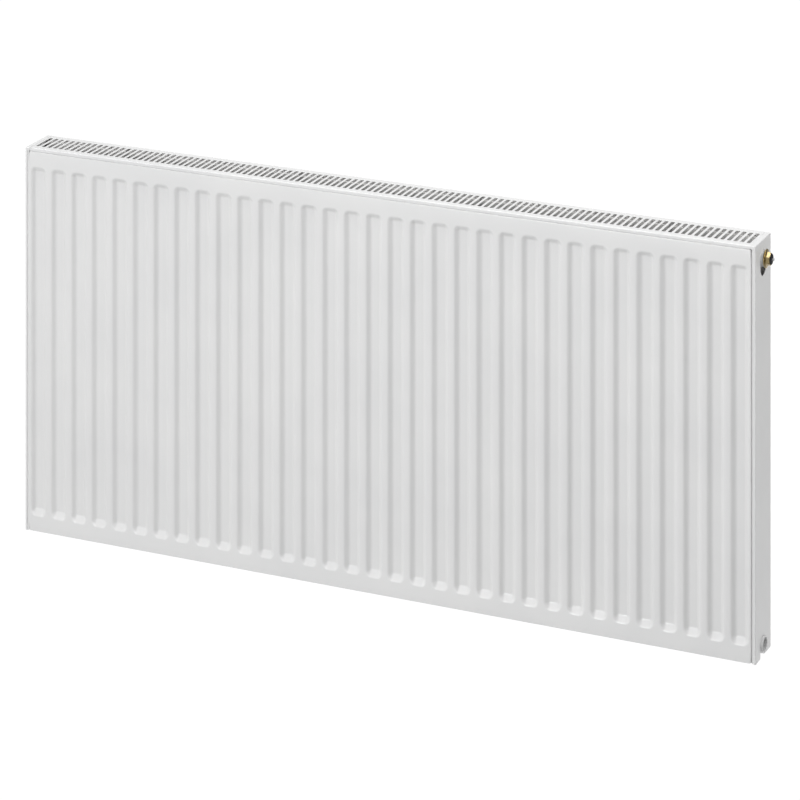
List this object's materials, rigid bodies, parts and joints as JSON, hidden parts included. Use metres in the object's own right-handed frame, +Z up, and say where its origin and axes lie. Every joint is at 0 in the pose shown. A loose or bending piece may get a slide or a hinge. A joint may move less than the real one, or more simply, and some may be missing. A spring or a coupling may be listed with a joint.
{
  "type": "panel radiator",
  "caption": "Steel double-panel radiator with upright grooves, top grille, side covers, threaded ports and an air vent.",
  "frame": {"origin": "mid-length, level with the bottom edge, on the wall-side face of the rear panel", "axes": "+X along the radiator to the right as seen from the room, +Y towards the wall, +Z up"},
  "size_m": [1.2236, 0.081, 0.6],
  "materials": {
    "white_enamel": "satin white baked enamel on steel sheet",
    "inner_primer": "thin matt light grey coat on the inner sheets and the convector",
    "spring_steel": "bare spring steel",
    "seal_rubber": "smooth black rubber",
    "brass": "turned yellow brass",
    "black_plastic": "moulded black plastic",
    "bright_steel": "plated steel"
  },
  "bodies": {
    "radiator_body": {"front_outer_sheet": "white_enamel", "front_inner_sheet": "inner_primer", "rear_inner_sheet": "inner_primer", "rear_outer_sheet": "white_enamel", "convector": "inner_primer", "upper_left_port": "white_enamel", "upper_right_port": "white_enamel", "lower_left_port": "white_enamel", "lower_right_port": "white_enamel", "left_cover_brackets": "white_enamel", "right_cover_brackets": "white_enamel", "vent_plug_seal": "seal_rubber", "blanking_plug_seal": "seal_rubber", "vent_plug_body": "brass", "blanking_plug": "brass", "lower_left_hanging_lug": "white_enamel", "lower_right_hanging_lug": "white_enamel", "upper_left_hanging_lug": "white_enamel", "upper_right_hanging_lug": "white_enamel"},
    "grille": {"top_grille": "white_enamel", "grille_clips": "spring_steel"},
    "left_cover": {"left_side_cover": "white_enamel", "left_cover_hooks": "white_enamel"},
    "right_cover": {"right_side_cover": "white_enamel", "right_cover_hooks": "white_enamel"},
    "vent_nozzle": {"vent_swivel_nozzle": "black_plastic"},
    "vent_key": {"vent_spindle": "bright_steel"}
  },
  "joints": [
    {"name": "top_grille_lift", "type": "slide", "parent": "radiator_body", "child": "grille", "axis": [0, 0, 1], "range_m": [0, 0.06]},
    {"name": "left_cover_lift", "type": "slide", "parent": "radiator_body", "child": "left_cover", "axis": [0, 0, 1], "range_m": [0, 0.012]},
    {"name": "right_cover_lift", "type": "slide", "parent": "radiator_body", "child": "right_cover", "axis": [0, 0, 1], "range_m": [0, 0.012]},
    {"name": "vent_nozzle_swivel", "type": "hinge", "parent": "radiator_body", "child": "vent_nozzle", "pos_m": [0.611, -0.036, 0.573], "axis": [1, 0, 0], "continuous": true},
    {"name": "vent_spindle_turn", "type": "hinge", "parent": "radiator_body", "child": "vent_key", "pos_m": [0.611, -0.036, 0.573], "axis": [1, 0, 0], "range_deg": [0, 360]}
  ]
}
